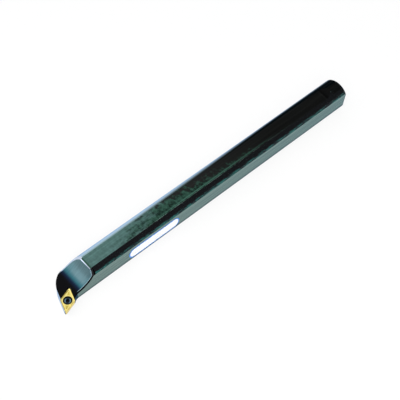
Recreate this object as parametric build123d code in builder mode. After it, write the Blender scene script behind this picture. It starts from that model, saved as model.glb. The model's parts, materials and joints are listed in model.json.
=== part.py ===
from build123d import *
from math import asin, cos, radians, sin, sqrt, tan
import os

# Right-hand internal turning (boring) bar: a round steel shank with milled flats, a head cut
# down to centre height, and a 55 degree indexable insert held by one countersunk screw.
# The origin is the centre of the shank's back end face, +X runs along the axis to the head,
# +Y points to the cutting side and +Z is up. The insert's rake face lies at z = 0.

# Shank
overall_length = 300.0  # back end face to the cutting tip
shank_diameter = 25.0
flat_depth = 1.25  # top and bottom flats, below the round
side_flat_depth = 2.5  # flat on the cutting side
flats_start = 12.0  # back end to where the cutter starts to dip into the bar
flat_cutter_radius = 31.5  # run-out of the top and bottom flats
end_chamfer = 0.5

# Insert, 55 degree rhombic with 7 degree clearance
tip_offset = 17.0  # axis to the cutting tip
insert_circle = 9.525  # inscribed circle
insert_angle = 55.0
insert_thickness = 3.97
insert_clearance = 7.0
insert_nose_radius = 0.8
insert_turn = 45.0  # long diagonal against the bar's axis
insert_hole_diameter = 4.4
insert_sink_diameter = 6.3
land_width = 0.3  # flat rim beside the cutting edges
breaker_depth = 0.22  # chip groove behind the rim
breaker_slope = 35.0
breaker_corner_radius = 0.15  # smallest corner of the groove's outline
plateau_radius = 3.75  # raised ring round the hole
plateau_point = 7.6  # centre to the point of the chip former
plateau_point_angle = 34.0
plateau_point_radius = 0.25

# Screw, M3.5 with a six-lobe socket
screw_thread_diameter = 3.5
screw_head_diameter = 5.3
screw_length = 8.0
screw_cone_angle = 60.0
screw_rim = 0.35  # straight edge of the head above its cone
screw_point_chamfer = 0.4
socket_across = 3.3
socket_core = 2.5
socket_depth = 1.6
socket_lobe_radius = 0.42
socket_lobes = 6

# Head
floor_drop = 0.3  # milled floor below the rake face
scoop_radius = 19.0
scoop_reach = 14.0  # cutting tip back to where the scoop leaves the floor
front_setback = 0.6  # front face behind the insert's front edge
back_corner_radius = 19.0
back_corner_reach = 17.25  # cutting tip back to where the rounded corner meets the shank
side_setback = 0.55  # nose side behind the insert's side edge, at the seat
side_relief = 20.0  # undercut of the nose below the seat
smallest_bore = 32.0
bore_clearance = 0.4
neck_reach = 16.0  # cutting tip back to where the head grows out of the shank
neck_radius = 8.0
head_radius = 17.5
side_cutter_radius = 6.0  # end of the side flat
side_cutter_reach = 16.5
seat_gap = 0.02  # between the insert, its pocket walls and the screw's cone
seat_relief_diameter = 3.0  # drilled corner of the pocket
seat_relief_depth = 0.3
screw_hole_depth = 5.3  # below the seat
screw_hole_gap = 0.05  # stands for the thread's fit, all round
rim_chamfer = 1.2  # bevel round the scoop
nose_corner_radius = 0.4  # between the front face and the nose side

# Label on the side flat
label_length = 49.0
label_height = 11.0
label_corner_radius = 5.2
label_thickness = 0.1
label_from_tip = 88.0  # cutting tip back to the label's centre
label_drop = 0.6  # centre below the axis

shank_radius = shank_diameter / 2
flat_z = shank_radius - flat_depth
side_flat_y = shank_radius - side_flat_depth
half_angle = insert_angle / 2
over = 5.0  # how far a cutting solid runs past what it cuts

# The insert's centre follows from the tip, whose nose radius touches both the front and the side
nose_to_centre = (insert_circle / 2 - insert_nose_radius) / sin(radians(half_angle))
centre_x = overall_length - insert_nose_radius - nose_to_centre * cos(radians(insert_turn))
centre_y = tip_offset - insert_nose_radius - nose_to_centre * sin(radians(insert_turn))
seat_z = -insert_thickness
floor_z = -floor_drop
taper_inset = insert_thickness * tan(radians(insert_clearance))
along_insert = (cos(radians(insert_turn)), sin(radians(insert_turn)), 0)
insert_plane = Plane(origin=(centre_x, centre_y, 0), x_dir=along_insert, z_dir=(0, 0, 1))

# The scoop's profile is an arc that leaves the floor level and runs up through the top flat
scoop_x = overall_length - scoop_reach
scoop_rise = flat_z + over - floor_z
scoop_run = sqrt(scoop_radius**2 - (scoop_radius - scoop_rise) ** 2)
scoop_half_turn = asin(scoop_run / scoop_radius) / 2
scoop_mid_x = scoop_x - scoop_radius * sin(scoop_half_turn)
scoop_mid_z = floor_z + scoop_radius * (1 - cos(scoop_half_turn))

# The front face is parallel to the insert's front edge. The back corner's arc leaves it
# without a step and ends on the shank's side.
front_angle = insert_turn - 90 + half_angle
front_normal = Vector(cos(radians(front_angle)), sin(radians(front_angle)))
front_along = Vector(-sin(radians(front_angle)), cos(radians(front_angle)))
front_distance = insert_circle / 2 - front_setback
corner_end = Vector(overall_length - back_corner_reach, -shank_radius)
corner_row = Vector(centre_x, centre_y) + front_normal * (front_distance - back_corner_radius)
corner_gap = corner_row - corner_end
corner_lean = corner_gap.dot(front_along)
corner_slide = sqrt(corner_lean**2 - corner_gap.dot(corner_gap) + back_corner_radius**2)
corner_centre = corner_row + front_along * (corner_slide - corner_lean)
corner_start = corner_centre + front_normal * back_corner_radius
corner_bisector = (corner_start + corner_end - corner_centre * 2).normalized()
corner_mid = corner_centre + corner_bisector * back_corner_radius


def rhombus(inset):
    """The insert's sharp outline, moved inwards by inset, in its own plane."""
    reach = (insert_circle / 2 - inset) / sin(radians(half_angle))
    width = (insert_circle / 2 - inset) / cos(radians(half_angle))
    return [(reach, 0), (0, width), (-reach, 0), (0, -width)]


def insert_outline(inset):
    """The insert's outline, moved inwards by inset, with its corners rounded."""
    with BuildSketch() as outline:
        Polygon(*rhombus(inset), align=None)
        fillet(outline.vertices(), max(insert_nose_radius - inset, breaker_corner_radius))
    return outline.sketch


def pocket_outline(inset):
    """The rhombus drawn twice as large from its inner corner, so that it runs out of the head."""
    reach = rhombus(inset)[0][0]
    return [(2 * x + reach, 2 * y) for x, y in rhombus(inset)]


def run_out_flat(level):
    """Cutting profile of one flat: the arc by which the cutter dips in, then a straight run."""
    run = sqrt(flat_cutter_radius**2 - (flat_cutter_radius - flat_depth) ** 2)
    mid = run / 2
    mid_dip = flat_cutter_radius - sqrt(flat_cutter_radius**2 - (run - mid) ** 2)
    side = 1 if level > 0 else -1
    high = side * shank_radius
    far = overall_length + over
    with BuildLine() as outline:
        ThreePointArc(
            (flats_start, high),
            (flats_start + mid, level + side * mid_dip),
            (flats_start + run, level),
        )
        Polyline(
            (flats_start + run, level),
            (far, level),
            (far, high + side * over),
            (flats_start, high + side * over),
            (flats_start, high),
        )
    return outline.line


# Nose of the head: it grows out of the shank on the cutting side, fits inside the smallest
# bore, and is undercut below the insert's side edge
neck_x = overall_length - neck_reach
neck_rise = head_radius - shank_radius
neck_run = sqrt(neck_radius**2 - (neck_radius - neck_rise) ** 2)
neck_mid = neck_radius * sin(asin(neck_run / neck_radius) / 2)
neck_mid_rise = neck_radius - sqrt(neck_radius**2 - neck_mid**2)
with BuildPart() as nose:
    with BuildSketch(Plane.XY):
        with BuildLine():
            Polyline((neck_x, shank_radius), (neck_x, 0), (overall_length, 0))
            Polyline((overall_length, 0), (overall_length, head_radius))
            Line((overall_length, head_radius), (neck_x + neck_run, head_radius))
            ThreePointArc(
                (neck_x + neck_run, head_radius),
                (neck_x + neck_mid, shank_radius + neck_mid_rise),
                (neck_x, shank_radius),
            )
        make_face()
    revolve(axis=Axis.X)
    # keep the cutting side only
    with BuildSketch(Plane.XZ):
        with Locations((overall_length - neck_reach / 2, 0)):
            Rectangle(neck_reach + 2 * over, 2 * head_radius + over)
    extrude(amount=head_radius + over, mode=Mode.SUBTRACT)
    # the smallest bore touches the cutting tip
    with BuildSketch(Plane.YZ.offset(neck_x - over)):
        with Locations((tip_offset - smallest_bore / 2, 0)):
            Circle(smallest_bore / 2 - bore_clearance)
    extrude(amount=neck_reach + 2 * over, mode=Mode.INTERSECT)
    # undercut: a prism along the insert's side edge
    side_angle = insert_turn - half_angle
    side_along = Vector(cos(radians(side_angle)), sin(radians(side_angle)), 0)
    side_out = Vector(-sin(radians(side_angle)), cos(radians(side_angle)), 0)
    side_origin = insert_plane.origin + side_out * (insert_circle / 2 - side_setback)
    undercut = (flat_z + seat_z + over) * tan(radians(side_relief))
    with BuildSketch(Plane(origin=side_origin, x_dir=side_out, z_dir=-side_along)):
        with BuildLine():
            # the plane's own y axis points down
            Polyline(
                (0, -head_radius),
                (0, -seat_z),
                (-undercut, flat_z + over),
                (head_radius, flat_z + over),
                (head_radius, -head_radius),
                close=True,
            )
        make_face()
    extrude(amount=neck_reach + over, both=True, mode=Mode.SUBTRACT)

with BuildPart() as bar:
    with BuildSketch(Plane.YZ):
        Circle(shank_radius)
    extrude(amount=overall_length)
    chamfer(bar.edges().sort_by(Axis.X)[0], end_chamfer)
    add(nose.part)

    # top and bottom flats
    for level in (flat_z, -flat_z):
        with BuildSketch(Plane.XZ):
            add(run_out_flat(level))
            make_face()
        extrude(amount=head_radius, both=True, mode=Mode.SUBTRACT)

    # side flat, ended by the corner of its cutter
    with BuildSketch(Plane.XY.offset(-head_radius)):
        side_end = overall_length - side_cutter_reach
        with Locations((side_end / 2 - over, side_flat_y + side_cutter_radius)):
            Rectangle(side_end + 2 * over, 2 * side_cutter_radius)
        with Locations((side_end, side_flat_y + side_cutter_radius)):
            Circle(side_cutter_radius)
    extrude(amount=2 * head_radius, mode=Mode.SUBTRACT)

    # top of the head milled down to the floor, with the scoop that runs up to the top flat
    with BuildSketch(Plane.XZ):
        with BuildLine():
            ThreePointArc(
                (scoop_x - scoop_run, floor_z + scoop_rise),
                (scoop_mid_x, scoop_mid_z),
                (scoop_x, floor_z),
            )
            Polyline(
                (scoop_x, floor_z),
                (overall_length + over, floor_z),
                (overall_length + over, floor_z + scoop_rise),
                (scoop_x - scoop_run, floor_z + scoop_rise),
            )
        make_face()
    extrude(amount=head_radius + over, both=True, mode=Mode.SUBTRACT)

    # bevelled rim of the scoop, all but the edge that it shares with the floor
    scoop = bar.faces().sort_by_distance((scoop_mid_x, 0, scoop_mid_z))[0]
    chamfer(scoop.edges().sort_by(Axis.Z)[1:], rim_chamfer)

    # front face and back corner
    with BuildSketch(Plane.XY.offset(-head_radius)):
        with BuildLine():
            far_front = corner_start + front_along * 3 * head_radius
            ThreePointArc(corner_end, corner_mid, corner_start)
            Polyline(
                corner_start,
                far_front,
                (far_front.X + head_radius, far_front.Y),
                (far_front.X + head_radius, -head_radius),
                (corner_end.X, -head_radius),
                corner_end,
            )
        make_face()
    extrude(amount=2 * head_radius, mode=Mode.SUBTRACT)

    # rounded nose corner, above and below the undercut's bend
    nose_edges = bar.edges().filter_by(
        lambda edge: edge.center().X > centre_x and abs(edge.tangent_at(0.5).Z) > 0.6
    )
    fillet(nose_edges.sort_by(Axis.Y)[-2:], nose_corner_radius)

    # pocket: two tapered walls and the seat
    with BuildSketch(insert_plane.offset(seat_z)):
        Polygon(*pocket_outline(taper_inset - seat_gap), align=None)
    with BuildSketch(insert_plane):
        Polygon(*pocket_outline(-seat_gap), align=None)
    loft(mode=Mode.SUBTRACT)

    # relief drilled in the pocket's inner corner
    with BuildSketch(insert_plane.offset(seat_z - seat_relief_depth)):
        with Locations(rhombus(taper_inset)[2]):
            Circle(seat_relief_diameter / 2)
    extrude(amount=head_radius, mode=Mode.SUBTRACT)

    # tapped hole for the screw
    with Locations(insert_plane.offset(seat_z)):
        Hole(screw_thread_diameter / 2 + screw_hole_gap, screw_hole_depth)
bar.part.label = "bar"

with BuildPart() as insert:
    with BuildSketch(insert_plane.offset(seat_z)):
        add(insert_outline(taper_inset))
    with BuildSketch(insert_plane):
        add(insert_outline(0))
    loft(ruled=True)

    # chip groove behind the land, with the raised ring and its two points left standing
    breaker_run = breaker_depth / tan(radians(breaker_slope))
    with BuildSketch(insert_plane.offset(-breaker_depth)):
        add(insert_outline(land_width + breaker_run))
    with BuildSketch(insert_plane):
        add(insert_outline(land_width))
    loft(ruled=True, mode=Mode.SUBTRACT)
    with BuildSketch(insert_plane.offset(-breaker_depth)) as plateau:
        Circle(plateau_radius)
        point_width = plateau_point * tan(radians(plateau_point_angle / 2))
        Polygon(
            (plateau_point, 0), (0, point_width), (-plateau_point, 0), (0, -point_width), align=None
        )
        fillet(plateau.vertices(), plateau_point_radius)
    extrude(amount=breaker_depth)

    # countersunk hole
    with Locations(insert_plane):
        CounterSinkHole(
            insert_hole_diameter / 2, insert_sink_diameter / 2, counter_sink_angle=screw_cone_angle
        )
insert.part.label = "insert"

# The screw's cone bears on the countersink, so its head sits where the cone is head-wide
cone_slope = tan(radians(screw_cone_angle / 2))
head_z = seat_gap - (insert_sink_diameter - screw_head_diameter) / 2 / cone_slope
head_r = screw_head_diameter / 2
thread_r = screw_thread_diameter / 2
with BuildPart() as insert_screw:
    with BuildSketch(Plane(origin=insert_plane.origin, x_dir=(1, 0, 0), z_dir=(0, -1, 0))):
        with BuildLine():
            Polyline(
                (0, head_z + screw_rim),
                (head_r, head_z + screw_rim),
                (head_r, head_z),
                (thread_r, head_z - (head_r - thread_r) / cone_slope),
                (thread_r, head_z + screw_rim - screw_length + screw_point_chamfer),
                (thread_r - screw_point_chamfer, head_z + screw_rim - screw_length),
                (0, head_z + screw_rim - screw_length),
                close=True,
            )
        make_face()
    revolve(axis=Axis(insert_plane.origin, (0, 0, 1)))
    with BuildSketch(insert_plane.offset(head_z + screw_rim)) as socket:
        Circle(socket_core / 2)
        with PolarLocations(socket_across / 2 - socket_lobe_radius, socket_lobes):
            Circle(socket_lobe_radius)
    extrude(amount=-socket_depth, mode=Mode.SUBTRACT)
insert_screw.part.label = "insert_screw"

label_plane = Plane(
    origin=(overall_length - label_from_tip, side_flat_y, -label_drop),
    x_dir=(-1, 0, 0),
    z_dir=(0, 1, 0),
)
with BuildPart() as label:
    with BuildSketch(label_plane):
        RectangleRounded(label_length, label_height, label_corner_radius)
    extrude(amount=label_thickness)
label.part.label = "label"

os.makedirs("parts", exist_ok=True)
for piece in (bar, insert, insert_screw, label):
    export_step(piece.part, f"parts/{piece.part.label}.step")
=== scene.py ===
import json
import math

import bmesh
import bpy
from mathutils import Matrix, Vector


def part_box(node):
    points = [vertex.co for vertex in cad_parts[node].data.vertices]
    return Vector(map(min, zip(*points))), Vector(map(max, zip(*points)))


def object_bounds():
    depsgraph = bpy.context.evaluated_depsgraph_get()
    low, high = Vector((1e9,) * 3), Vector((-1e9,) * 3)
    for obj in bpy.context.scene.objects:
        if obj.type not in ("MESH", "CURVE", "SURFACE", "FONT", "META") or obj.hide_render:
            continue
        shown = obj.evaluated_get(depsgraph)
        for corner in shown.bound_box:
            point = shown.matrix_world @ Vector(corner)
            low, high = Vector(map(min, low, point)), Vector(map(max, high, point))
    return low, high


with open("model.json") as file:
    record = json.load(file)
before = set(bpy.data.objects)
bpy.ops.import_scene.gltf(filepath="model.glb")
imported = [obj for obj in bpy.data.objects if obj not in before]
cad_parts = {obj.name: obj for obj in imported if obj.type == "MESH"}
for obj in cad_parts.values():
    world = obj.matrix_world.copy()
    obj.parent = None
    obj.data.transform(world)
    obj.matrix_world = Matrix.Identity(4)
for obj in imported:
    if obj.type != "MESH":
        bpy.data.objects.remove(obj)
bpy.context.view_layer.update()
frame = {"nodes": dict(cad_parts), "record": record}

scene = bpy.context.scene
scene.view_settings.view_transform = "Standard"

MM = 0.001

# Places on the bar, in millimetres, from the frame
bar_low = Vector(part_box("bar")[0]) / MM
insert_low, insert_high = (Vector(corner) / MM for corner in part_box("insert"))
label_low, label_high = (Vector(corner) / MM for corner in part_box("label"))
mounts = {mount["name"]: Vector(mount["pos_m"]) / MM for mount in frame["record"]["mounts"]}
radius = -bar_low.z
top_z = mounts["top_flat"].z
side_y = mounts["side_flat"].y
insert_middle = (insert_low + insert_high) / 2
label_middle = (label_low + label_high) / 2

# Places along the bar that the frame doesn't name, in millimetres
RUN_OUT_START = 12.0  # where the top flat has run out towards the shank's end
RUN_OUT_END = 21.0  # where the top flat is level
SCOOP_START = 267.3  # where the rim of the scoop begins in the top flat
LOW_HEAD_START = 282.0  # where the floor beside the insert and the sides under it begin
RIM_DEPTH = 1.1  # height of the rim under the top flat


# Camera at the photo's viewing angle

CAMERA_AT = Vector((448.0, 264.6, 556.15)) * MM
CAMERA_RIGHT = Vector((-0.73511, 0.67495, 0.06367))
CAMERA_UP = Vector((-0.53128, -0.63186, 0.56436))
FOCAL_PIXELS = 879.23
IMAGE_PIXELS = 400

camera_data = bpy.data.cameras.new("camera")
camera_data.sensor_fit = "HORIZONTAL"
camera_data.lens = FOCAL_PIXELS / IMAGE_PIXELS * camera_data.sensor_width
camera = bpy.data.objects.new("camera", camera_data)
camera_back = CAMERA_RIGHT.cross(CAMERA_UP)
turn = Matrix((CAMERA_RIGHT, CAMERA_UP, camera_back)).transposed()
camera.matrix_world = Matrix.Translation(CAMERA_AT) @ turn.to_4x4()
scene.collection.objects.link(camera)
scene.camera = camera


# Node helpers

class Graph:
    """Short calls that build a node tree. An input takes a socket or a plain value."""

    def __init__(self, owner):
        owner.use_nodes = True
        self.tree = owner.node_tree
        self.tree.nodes.clear()

    def node(self, kind, inputs=None, **settings):
        made = self.tree.nodes.new("ShaderNode" + kind)
        for name, value in settings.items():
            setattr(made, name, value)
        for name, value in (inputs or {}).items():
            socket = made.inputs[name]
            if isinstance(value, bpy.types.NodeSocket):
                self.tree.links.new(value, socket)
            elif socket.type == "RGBA":
                socket.default_value = (*value, 1)
            else:
                socket.default_value = value
        return made

    def math(self, operation, *values):
        return self.node("Math", dict(enumerate(values)), operation=operation).outputs[0]

    def plus(self, first, second):
        return self.math("ADD", first, second)

    def minus(self, first, second):
        return self.math("SUBTRACT", first, second)

    def product(self, first, *others):
        for other in others:
            first = self.math("MULTIPLY", first, other)
        return first

    def most(self, first, *others):
        for other in others:
            first = self.math("MAXIMUM", first, other)
        return first

    def amount(self, value):
        """A number without its sign."""
        return self.math("ABSOLUTE", value)

    def length(self, first, second):
        squares = self.plus(self.product(first, first), self.product(second, second))
        return self.math("SQRT", squares)

    def opposite(self, share):
        return self.minus(1.0, share)

    def step(self, value, start, end, bottom=0.0, top=1.0):
        """Smooth change from bottom at start to top at end. Start may lie above end."""
        inputs = {"Value": value, "From Min": start, "From Max": end, "To Min": bottom, "To Max": top}
        return self.node("MapRange", inputs, interpolation_type="SMOOTHSTEP").outputs[0]

    def mix(self, share, first, second):
        """Blend of two colours."""
        return self.node("Mix", {0: share, 6: first, 7: second}, data_type="RGBA").outputs[2]

    def blend(self, share, first, second):
        """Blend of two numbers."""
        return self.node("Mix", {0: share, 2: first, 3: second}, data_type="FLOAT").outputs[0]

    def split(self, vector):
        return self.node("SeparateXYZ", {0: vector}).outputs[:]

    def scaled(self, vector, factors):
        """Vector or colour times a number or three numbers."""
        if isinstance(factors, tuple):
            return self.node("VectorMath", {0: vector, 1: factors}, operation="MULTIPLY").outputs[0]
        inputs = {0: vector, "Scale": factors}
        return self.node("VectorMath", inputs, operation="SCALE").outputs[0]

    def noise(self, place, scale, detail=4.0, roughness=0.5):
        """Noise with one scale, or with one for each axis."""
        if isinstance(scale, tuple):
            place = self.scaled(place, scale)
            scale = 1.0
        inputs = {"Vector": place, "Scale": scale, "Detail": detail, "Roughness": roughness}
        return self.node("TexNoise", inputs).outputs[0]

    def varied(self, color, noise, least, greatest, start=0.3, end=0.7):
        """Colour made darker and lighter by a noise that runs from start to end."""
        return self.scaled(color, self.step(noise, start, end, least, greatest))

    def relief(self, height, depth):
        """Normal of a fine relief with a depth in millimetres."""
        return self.node("Bump", {"Height": height, "Distance": depth * MM, "Strength": 1.0}).outputs[0]

    def millimetres(self):
        """Position on the object in millimetres, in the frame's axes."""
        place = self.node("TexCoord").outputs["Object"]
        return self.scaled(place, (1 / MM, 1 / MM, 1 / MM))

    def face_normal(self):
        return self.node("NewGeometry").outputs["True Normal"]

    def finish(self, kind, shader):
        self.node("Output" + kind, {"Surface": shader})


def new_material(name, graph_kind=Graph):
    material = bpy.data.materials.new(name)
    return material, graph_kind(material)


def dress(node, material):
    piece = frame["nodes"][node]
    piece.data.materials.clear()
    piece.data.materials.append(material)


# Floor, a round one that turns up into a low wall

FLOOR_REACH = 6.0
WALL_RISE = 2.0
COVE_RADIUS = 0.6
COVE_STEPS = 8
FLOOR_STEPS = 96
FLOOR_WHITE = (0.93, 0.93, 0.93)
GLOW_WHITE = (1, 1, 1)
FLOOR_SHARE = 0.85  # how much of the floor's own white covers the shadow

def pale_floor():
    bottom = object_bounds()[0][2]
    profile = [(0.0, 0.0), (FLOOR_REACH - COVE_RADIUS, 0.0)]
    for step in range(1, COVE_STEPS + 1):
        angle = step / COVE_STEPS * math.pi / 2
        out = FLOOR_REACH - COVE_RADIUS * (1 - math.sin(angle))
        profile.append((out, COVE_RADIUS * (1 - math.cos(angle))))
    profile.append((FLOOR_REACH, WALL_RISE))

    mesh = bmesh.new()
    corners = [mesh.verts.new((out, 0.0, bottom + rise)) for out, rise in profile]
    edges = [mesh.edges.new(pair) for pair in zip(corners, corners[1:])]
    bmesh.ops.spin(
        mesh, geom=corners + edges, axis=(0, 0, 1), steps=FLOOR_STEPS, angle=math.tau, use_merge=True
    )
    bmesh.ops.recalc_face_normals(mesh, faces=mesh.faces)
    for face in mesh.faces:
        face.smooth = True
    data = bpy.data.meshes.new("floor")
    mesh.to_mesh(data)
    mesh.free()

    floor = bpy.data.objects.new("floor", data)
    scene.collection.objects.link(floor)
    data.materials.append(floor_white())


def floor_white():
    """White that keeps a shadow and also shows in metal."""
    material, graph = new_material("floor")
    path = graph.node("LightPath").outputs
    seen = graph.most(path["Is Camera Ray"], path["Is Glossy Ray"], path["Is Transmission Ray"])
    share = graph.product(seen, FLOOR_SHARE)
    diffuse = graph.node("BsdfDiffuse", {"Color": FLOOR_WHITE}).outputs[0]
    glow = graph.node("Emission", {"Color": GLOW_WHITE, "Strength": 1.0}).outputs[0]
    graph.finish("Material", graph.node("MixShader", {0: share, 1: diffuse, 2: glow}).outputs[0])
    return material


# The room is dark, with one big pale wall that leans over the bar from its back side.
# Its soft end lies across from the middle of the bar. Each border is a share of a view direction.

WALL_END = (-0.56, -0.36)
WALL_FOOT = (0.15, -0.2)
WALL_GAIN = (0.1, 0.7)  # where the wall grows brighter
WALL_LIGHT = 1.0
WALL_LIGHT_MOST = 1.6
WALL_COLOR = (0.97, 0.99, 1.0)
ROOM_LIGHT = 0.07

def studio():
    world = bpy.data.worlds.new("studio")
    scene.world = world
    graph = Graph(world)
    x, y = graph.split(graph.node("TexCoord").outputs["Generated"])[:2]
    wall = graph.product(graph.step(x, *WALL_END), graph.step(y, *WALL_FOOT))
    light = graph.product(wall, graph.step(x, *WALL_GAIN, WALL_LIGHT, WALL_LIGHT_MOST))
    background = graph.node("Background", {
        "Color": WALL_COLOR,
        "Strength": graph.plus(light, ROOM_LIGHT),
    })
    graph.finish("World", background.outputs[0])


TARGET = Vector((250.0, 0.0, 0.0)) * MM

def softbox(name, direction, distance, width, height, power):
    lamp = bpy.data.lights.new(name, "AREA")
    lamp.shape = "RECTANGLE"
    lamp.size = width
    lamp.size_y = height
    lamp.energy = power
    place = bpy.data.objects.new(name, lamp)
    place.location = TARGET + Vector(direction).normalized() * distance
    place.rotation_euler = (place.location - TARGET).to_track_quat("Z", "Y").to_euler()
    scene.collection.objects.link(place)


pale_floor()
studio()
softbox("front", direction=(0.45, 0.45, 0.77), distance=1.6, width=1.4, height=1.4, power=31)


# Blackened steel of the bar. The flats are grey-green near the head and
# black towards the shank's end. The back shoulder has a painted reflection, and edges are worn with a
# painted highlight.

FLAT_STEEL = (0.092, 0.178, 0.165)
FLAT_DEEP = (0.024, 0.062, 0.045)
FLAT_BLACK = (0.024, 0.025, 0.024)
FLAT_SCUFF = (0.07, 0.175, 0.13)
SIDE_STEEL = (0.211, 0.267, 0.219)
# Painted reflection on the back shoulder, bright near the head and dark further back
ROUND_BRIGHT = (0.53, 0.68, 0.84)
ROUND_GREY = (0.36, 0.52, 0.56)
ROUND_DARK = (0.015, 0.034, 0.055)
ROUND_BLACK = (0.008, 0.009, 0.008)
OXIDE_BLACK = (0.006, 0.006, 0.0065)
# Painted glints on the cutting side
TEAL_GLINT = (0.016, 0.09, 0.08)
RUN_OUT_BLACK = (0.006, 0.006, 0.006)
END_BLACK = (0.06, 0.062, 0.06)
SCOOP_STEEL = (0.115, 0.20, 0.225)
SCOOP_TEAL = (0.03, 0.12, 0.15)
SCOOP_NAVY = (0.010, 0.018, 0.045)
# Painted shade on the floor of the head and at the foot of the scoop
SHADE_BLACK = (0.007, 0.007, 0.008)
BARE_STEEL = (0.62, 0.70, 0.84)
# Painted highlight inside the rim on the cutting side
RIM_LINE = (0.20, 0.31, 0.35)
# Edge wear with a painted highlight
WORN_EDGE_HIGHLIGHT = (0.34, 0.52, 0.46)
END_STEEL = (0.07, 0.085, 0.085)
END_WORN = (0.21, 0.25, 0.24)
GRAZING_TINT = (0.45, 0.60, 0.76)
GRAZING_DARK = (0.45, 0.46, 0.48)

# Borders along the bar, from start to end, and how far each moves for a millimetre across the bar
# Where the back shoulder turns bright is where its painted reflection begins
BRIGHT_BORDER = (300, 470)  # the back shoulder turns bright
BRIGHT_SLANT = 30.0
CLEAR_BORDER = (198, 242)  # the top flat turns from mottled green to grey-green
CLEAR_SLANT = 2.5
BLACK_BORDER = (185, 135)  # the top flat turns black
BLACK_SLANT = 9.0
PATCH_REACH = 150.0  # how far patches and mottle push the flat's borders
MOTTLE_REACH = 200.0

# Width of the wear and painted highlight along an edge
EDGE_WEAR_AND_HIGHLIGHT = 0.9  # width of the wear along an edge
MARK_DEPTH = 0.008  # height of the tool marks
ROUND_ROUGHNESS = 0.2
TOP_ROUGHNESS = 0.2
FLAT_ROUGHNESS = 0.26
MILLED_ROUGHNESS = 0.34
ROUGHNESS_CHANGE = 0.03  # up and down, along the streaks


class BarGraph(Graph):
    """Node tree of the bar's steel, with its faces found. A face is a share from 0 to 1."""

    def __init__(self, owner):
        super().__init__(owner)
        self.place = self.millimetres()
        self.x, self.y, self.z = self.split(self.place)
        self.normal = self.face_normal()
        self.facing = self.split(self.normal)
        self.streaks = self.noise(self.place, (0.015, 1.1, 1.1), 3.0)
        self.specks = self.noise(self.place, (0.12, 0.8, 0.8), 5.0, 0.7)
        self.out = self.length(self.y, self.z)  # distance from the bar's axis
        self.rings = self.noise(self.node("CombineXYZ", {0: self.out}).outputs[0], 2.2, 3.0)
        self.find_flats()
        self.find_far_end()
        self.find_scoop()
        self.find_low_head()
        self.find_oxide()

    def find_flats(self):
        level = self.step(self.amount(self.facing[2]), 0.97, 0.99)
        self.level = self.product(level, self.step(self.amount(self.z), top_z - 0.2, top_z - 0.1))
        self.top = self.product(self.level, self.step(self.z, 0, 1))
        facing_side = self.step(self.facing[1], 0.97, 0.99)
        self.side = self.product(facing_side, self.step(self.y, side_y + 0.1, side_y + 0.05))
        self.flats = self.most(self.level, self.side)

    def find_far_end(self):
        self.end_face = self.step(self.x, 0.8, 0.7)
        above = self.step(self.z, top_z - 0.05, top_z + 0.05)
        self.end_top = self.product(above, self.step(self.x, RUN_OUT_START + 0.2, RUN_OUT_START))
        sloping = self.product(
            self.step(self.facing[0], 0.01, 0.05),
            self.step(self.z, top_z - 0.45, top_z - 0.05),
        )
        self.run_out = self.product(sloping, self.step(self.x, RUN_OUT_END + 1.0, RUN_OUT_END))

    def find_scoop(self):
        beyond = self.step(self.x, SCOOP_START - 0.2, SCOOP_START - 0.1)
        self.head = self.product(beyond, self.opposite(self.flats))
        self.across = self.step(self.amount(self.facing[1]), 0.1, 0.05)  # faces that run straight across
        rising = self.product(self.head, self.across, self.step(self.facing[2], 0.15, 0.2))
        rim_foot = top_z - RIM_DEPTH
        self.scoop = self.product(rising, self.step(self.z, rim_foot, rim_foot - 0.1))

        self.rim = self.product(self.head, self.opposite(self.scoop), self.step(self.z, -1.6, -1.3))
        inside_round = self.product(
            self.step(self.out, radius - 0.75, radius - 0.9),
            self.step(self.y, side_y - 0.8, side_y - 1.0),
        )
        inside_flat = self.product(
            self.step(self.y, side_y - 0.85, side_y - 1.0),
            self.step(self.z, 7.4, 7.1),
        )
        self.rim_cutting_side = self.step(self.y, 5.0, 5.6)
        self.rim_line = self.product(self.rim_cutting_side, self.most(inside_round, inside_flat))

    def find_low_head(self):
        """Floor of the head, the insert's seat, and the sides of the head below them."""
        low = self.product(self.head, self.step(self.z, -0.1, -0.28))
        self.low_head = self.product(low, self.step(self.x, LOW_HEAD_START - 0.5, LOW_HEAD_START + 0.5))
        facing_ahead = self.product(
            self.step(self.facing[0], 0.2, 0.3),
            self.step(self.amount(self.facing[2]), 0.2, 0.1),
        )
        self.front = self.product(self.low_head, facing_ahead, self.step(self.y, 13.6, 12.6))

    def find_oxide(self):
        """Painted reflection on the back shoulder, its lower part where the grazing reflection is dimmed
        as painted shade, and the black oxide.
        """
        slanted = self.minus(self.x, self.product(self.y, BRIGHT_SLANT))
        self.bright = self.product(self.step(slanted, *BRIGHT_BORDER), self.step(self.z, 0.0, 5.0))
        band = self.product(self.step(self.y, -9.8, -8.8), self.step(self.y, -3.0, -5.0))
        self.dimmed_reflection = self.product(self.opposite(self.bright), band, self.opposite(self.flats))

        shank_part = self.step(self.x, LOW_HEAD_START + 1.0, LOW_HEAD_START + 0.5)
        under = self.product(self.step(self.z, -1.7, -2.0), shank_part)
        upper_head = self.product(self.head, self.opposite(under))
        far_end = self.most(self.run_out, self.end_top, self.end_face)
        self.oxide = self.step(self.y, -1, 1)
        for bare in (self.flats, upper_head, far_end):
            self.oxide = self.product(self.oxide, self.opposite(bare))


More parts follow.
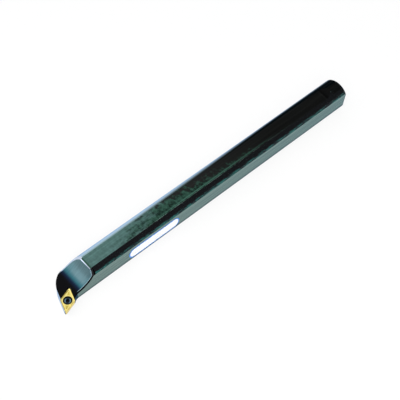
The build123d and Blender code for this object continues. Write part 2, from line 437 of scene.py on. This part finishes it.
def round_color(bar):
    """Round of the shank: painted reflection on the bright or dark shoulder, black cutting side with
    specks of teal painted as glints.
    """
    bright = bar.mix(bar.step(bar.y, -8.5, -5.5), ROUND_BRIGHT, ROUND_GREY)
    dark = bar.mix(bar.step(bar.y, -9.0, -8.0), ROUND_DARK, ROUND_BLACK)
    color = bar.mix(bar.bright, dark, bright)
    color = bar.mix(bar.end_top, color, END_BLACK)
    # Painted shade: the round end turns black on its back side
    color = bar.mix(bar.product(bar.end_top, bar.step(bar.y, -1.0, -2.5)), color, ROUND_BLACK)
    color = bar.mix(bar.oxide, color, OXIDE_BLACK)
    # Specks of teal along the cutting side's lower edge are painted glints
    low_side = bar.product(bar.step(bar.y, 8.3, 9.3), bar.step(bar.z, 5.5, 6.5), bar.oxide)
    return bar.mix(bar.product(low_side, bar.step(bar.specks, 0.46, 0.56)), color, TEAL_GLINT)


def top_flat_color(bar):
    """Grey-green near the head, then mottled green, then black, with ragged borders."""
    patches = bar.noise(bar.place, (0.08, 0.25, 1.0), 6.0, 0.75)
    mottle = bar.noise(bar.place, (0.42, 0.3, 1.0), 4.0, 0.7)
    ragged = bar.plus(bar.x, bar.product(bar.minus(patches, 0.5), PATCH_REACH))

    clear_from = bar.minus(ragged, bar.product(bar.y, CLEAR_SLANT))
    deep = bar.varied(FLAT_DEEP, mottle, 0.35, 1.75, 0.36, 0.64)
    clear = bar.varied(FLAT_STEEL, mottle, 0.86, 1.12, 0.32, 0.68)
    color = bar.mix(bar.step(clear_from, *CLEAR_BORDER), deep, clear)

    black_from = bar.plus(ragged, bar.product(bar.y, BLACK_SLANT))
    black_from = bar.plus(black_from, bar.product(bar.minus(mottle, 0.5), MOTTLE_REACH))
    black = bar.scaled(FLAT_BLACK, bar.step(bar.x, 90, 25, 1.0, 1.8))
    color = bar.mix(bar.step(black_from, *BLACK_BORDER), color, black)
    color = bar.varied(color, bar.streaks, 0.88, 1.15, 0.35, 0.7)

    breaks = bar.noise(bar.place, (0.09, 0.6, 1.0), 4.0, 0.7)
    scuff = bar.product(bar.step(bar.y, 3.5, 3.8), bar.step(bar.y, 4.7, 4.3), bar.step(breaks, 0.28, 0.42))
    scuff = bar.product(scuff, bar.step(bar.x, 75, 110), bar.step(bar.x, 215, 170))
    return bar.mix(scuff, color, FLAT_SCUFF)


def side_flat_color(bar):
    """Painted shade towards the lower edge, where the flat mirrors the shadowed floor, and lighter at the
    upper one.
    """
    shade = bar.product(bar.step(bar.z, -7.5, -4.4, 0.35, 1.0), bar.step(bar.z, 4.0, 6.3, 1.0, 1.22))
    return bar.varied(bar.scaled(SIDE_STEEL, shade), bar.streaks, 0.92, 1.08)


def worn_and_highlit_edges(bar):
    """Share of wear and painted highlight where the top flat meets the round on the cutting side."""
    soft = bar.node("Bevel", {"Radius": EDGE_WEAR_AND_HIGHLIGHT * MM}, samples=4).outputs[0]
    bend = bar.node("VectorMath", {0: soft, 1: bar.normal}, operation="DOT_PRODUCT").outputs["Value"]
    wear_and_highlight = bar.product(bar.step(bend, 0.998, 0.96), bar.step(bar.y, 0, 1))
    wear_and_highlight = bar.product(wear_and_highlight, bar.step(bar.specks, 0.38, 0.55), bar.top)
    return bar.product(wear_and_highlight, bar.step(bar.x, 40, 110), bar.step(bar.x, 262, 180))


def scoop_color(bar):
    """Painted shade at the floor, black then navy and teal, and grey-blue steel with a teal border above.
    """
    border = bar.most(
        bar.step(bar.z, 8.5, 11.0),
        bar.step(bar.y, 5.0, 10.5),
        bar.product(bar.step(bar.y, -3.0, -9.0), bar.step(bar.z, 7.0, 0.0)),
    )
    steel = bar.mix(bar.product(border, 0.5), SCOOP_STEEL, SCOOP_TEAL)
    color = bar.mix(bar.step(bar.z, -0.3, 0.3), SHADE_BLACK, SCOOP_NAVY)
    color = bar.mix(bar.step(bar.z, 0.1, 0.9), color, SCOOP_TEAL)
    color = bar.mix(bar.step(bar.z, 0.6, 2.3), color, steel)
    lines = bar.noise(bar.place, (0.1, 1.6, 0.1), 3.0)
    return bar.varied(color, lines, 0.9, 1.1)


def rim_color(bar):
    """Bare chamfer round the scoop, dimmed towards the cutting side and black there as painted shade, with
    a fine painted highlight line inside.
    """
    bare = bar.scaled(BARE_STEEL, bar.step(bar.y, -5.0, 5.0, 1.0, 0.4))
    upper_edge = bar.product(bar.across, bar.step(bar.z, top_z - 0.75, top_z - 0.65))
    color = bar.mix(upper_edge, bare, FLAT_DEEP)
    color = bar.mix(bar.rim_cutting_side, color, OXIDE_BLACK)
    line = bar.scaled(RIM_LINE, bar.step(bar.z, 6.5, 7.5, 1.0, 0.6))
    return bar.mix(bar.rim_line, color, line)


def end_face_color(bar):
    """Turned end face with a worn rim."""
    worn = bar.product(bar.step(bar.out, radius - 1.0, radius - 0.7), bar.step(bar.specks, 0.4, 0.6))
    return bar.mix(worn, bar.varied(END_STEEL, bar.rings, 0.8, 1.2, 0.35, 0.65), END_WORN)


def front_color(bar):
    milled = bar.noise(bar.place, (0.25, 0.25, 3.5), 4.0, 0.6)
    return bar.varied(BARE_STEEL, milled, 0.93, 1.07)


def tool_marks(bar):
    """Rings on the round and the end face, fine lines along the flats."""
    turned = bar.noise(bar.place, (2.4, 0.15, 0.15), 3.0)
    ground = bar.noise(bar.place, (0.04, 3.0, 3.0), 3.0)
    height = bar.blend(bar.end_face, bar.blend(bar.flats, turned, ground), bar.rings)
    return bar.relief(height, MARK_DEPTH)


def bar_roughness(bar):
    roughness = bar.blend(bar.flats, ROUND_ROUGHNESS, FLAT_ROUGHNESS)
    roughness = bar.blend(bar.top, roughness, TOP_ROUGHNESS)
    roughness = bar.blend(bar.low_head, roughness, MILLED_ROUGHNESS)
    roughness = bar.blend(bar.scoop, roughness, MILLED_ROUGHNESS)
    return bar.plus(roughness, bar.step(bar.streaks, 0.3, 0.7, -ROUGHNESS_CHANGE, ROUGHNESS_CHANGE))


def blackened_steel():
    material, bar = new_material("blackened_steel", BarGraph)
    layers = [
        (bar.level, FLAT_STEEL),
        (bar.top, top_flat_color(bar)),
        (bar.run_out, RUN_OUT_BLACK),
        (bar.side, side_flat_color(bar)),
        (worn_and_highlit_edges(bar), WORN_EDGE_HIGHLIGHT),
        (bar.scoop, scoop_color(bar)),
        (bar.rim, rim_color(bar)),
        (bar.end_face, end_face_color(bar)),
        # Painted shade on the floor of the head and the sides under the insert
        (bar.low_head, SHADE_BLACK),
        (bar.front, front_color(bar)),
    ]
    color = round_color(bar)
    for share, layer in layers:
        color = bar.mix(share, color, layer)
    shader = bar.node("BsdfPrincipled", {
        "Base Color": color,
        "Metallic": bar.opposite(bar.most(bar.oxide, bar.product(bar.rim, bar.rim_line))),
        "Roughness": bar_roughness(bar),
        "Specular Tint": bar.mix(bar.dimmed_reflection, GRAZING_TINT, GRAZING_DARK),
        "Normal": tool_marks(bar),
    })
    bar.finish("Material", shader.outputs[0])
    return material


def from_screw_axis(graph, place):
    """Place measured from the screw's axis and the rake face."""
    axis = (insert_middle.x, insert_middle.y, 0.0)
    return graph.node("VectorMath", {0: place, 1: axis}, operation="SUBTRACT").outputs[0]


# Gold coating of the insert, with painted shade in the countersink

GOLD = (0.70, 0.54, 0.11)
GOLD_DEEP = (0.56, 0.40, 0.08)
GOLD_EDGE = (0.92, 0.77, 0.26)
# Painted shade in the countersink
SINK_BLACK = (0.004, 0.004, 0.006)
SINK_RADIUS = 3.35
PLATEAU_REACH = 7.6  # from the screw's axis to the points of the raised plateau

def coated_carbide():
    material, graph = new_material("coated_carbide")
    place = graph.millimetres()
    x, y, height = graph.split(from_screw_axis(graph, place))
    distance = graph.length(x, y)
    up = graph.split(graph.face_normal())[2]
    grain = graph.noise(place, 3.0, 5.0, 0.6)

    raised = graph.product(graph.step(up, 0.9, 0.98), graph.step(height, -0.05, -0.02))
    plateau = graph.product(raised, graph.step(distance, PLATEAU_REACH + 0.1, PLATEAU_REACH - 0.1))
    # Painted shading of the chip former: the top lighter than the flanks, the plateau lighter round the
    # countersink and darker towards its points
    plateau_color = graph.mix(graph.step(distance, 3.7, 4.6), GOLD_EDGE, GOLD)
    plateau_color = graph.mix(graph.step(distance, 5.2, 6.6), plateau_color, GOLD_DEEP)
    color = graph.mix(graph.step(height, -0.4, -0.35), GOLD, GOLD_EDGE)
    color = graph.mix(plateau, color, plateau_color)
    color = graph.varied(color, grain, 0.93, 1.07)
    # Painted shade in the countersink
    color = graph.mix(graph.step(distance, SINK_RADIUS + 0.1, SINK_RADIUS), color, SINK_BLACK)
    shader = graph.node("BsdfPrincipled", {
        "Base Color": color,
        "Metallic": 1.0,
        "Roughness": graph.step(grain, 0.3, 0.7, 0.26, 0.36),
    })
    graph.finish("Material", shader.outputs[0])
    return material


# Oiled black screw, with a painted highlight: a blue-grey ring on its head that is strongest across the
# insert

SCREW_BLACK = (0.012, 0.014, 0.018)
SCREW_BLUE = (0.15, 0.26, 0.35)
SHORT_DIAGONAL = (-math.sqrt(0.5), math.sqrt(0.5), 0.0)  # of the insert
TURNING_DEPTH = 0.006  # height of the turning marks

def screw_steel():
    material, graph = new_material("screw_steel")
    place = graph.millimetres()
    from_axis = from_screw_axis(graph, place)
    x, y, height = graph.split(from_axis)
    distance = graph.length(x, y)
    across = graph.node("VectorMath", {0: from_axis, 1: SHORT_DIAGONAL}, operation="DOT_PRODUCT")
    share = graph.math("DIVIDE", graph.amount(across.outputs["Value"]), distance)
    up = graph.split(graph.face_normal())[2]

    ring = graph.product(graph.step(distance, 1.45, 1.7), graph.step(distance, 2.35, 2.15))
    ring = graph.product(ring, graph.step(up, 0.9, 0.95), graph.step(height, -1.0, -0.8))
    # Painted highlight: the ring is brightest across the insert
    ring = graph.product(ring, graph.step(share, 0.45, 0.9, 0.12, 1.0))
    grain = graph.noise(place, 2.2, 4.0, 0.55)
    turned = graph.noise(graph.node("CombineXYZ", {0: distance, 2: height}).outputs[0], 9.0, 2.0)
    shader = graph.node("BsdfPrincipled", {
        "Base Color": graph.varied(graph.mix(ring, SCREW_BLACK, SCREW_BLUE), grain, 0.85, 1.15),
        "Metallic": 1.0,
        "Roughness": graph.step(grain, 0.3, 0.7, 0.25, 0.37),
        "Normal": graph.relief(turned, TURNING_DEPTH),
    })
    graph.finish("Material", shader.outputs[0])
    return material


# Printed film: white field, blue line round the edge

FILM_WHITE = (0.93, 0.94, 0.95)
FILM_BLUE = (0.01, 0.20, 0.72)
FILM_LINE = 0.95
FILM_CORNER = 5.2
WAVE_DEPTH = 0.01  # height of the film's waves

def label_film():
    material, graph = new_material("label_film")
    place = graph.millimetres()
    x, _, z = graph.split(place)
    half = (label_high - label_low) / 2
    run = graph.minus(graph.amount(graph.minus(x, label_middle.x)), half.x - FILM_CORNER)
    rise = graph.minus(graph.amount(graph.minus(z, label_middle.z)), half.z - FILM_CORNER)
    reach = graph.length(graph.most(run, 0.0), graph.most(rise, 0.0))
    line_start = FILM_CORNER - FILM_LINE
    color = graph.mix(graph.step(reach, line_start - 0.1, line_start), FILM_WHITE, FILM_BLUE)
    smudge = graph.noise(place, 0.16, 5.0, 0.6)
    waves = graph.noise(place, 0.9, 2.0)
    shader = graph.node("BsdfPrincipled", {
        "Base Color": graph.varied(color, smudge, 0.965, 1.0, 0.35, 0.65),
        "Roughness": graph.step(smudge, 0.35, 0.65, 0.42, 0.3),
        "Normal": graph.relief(waves, WAVE_DEPTH),
    })
    graph.finish("Material", shader.outputs[0])
    return material


dress("bar", blackened_steel())
dress("insert", coated_carbide())
dress("insert_screw", screw_steel())
dress("label", label_film())
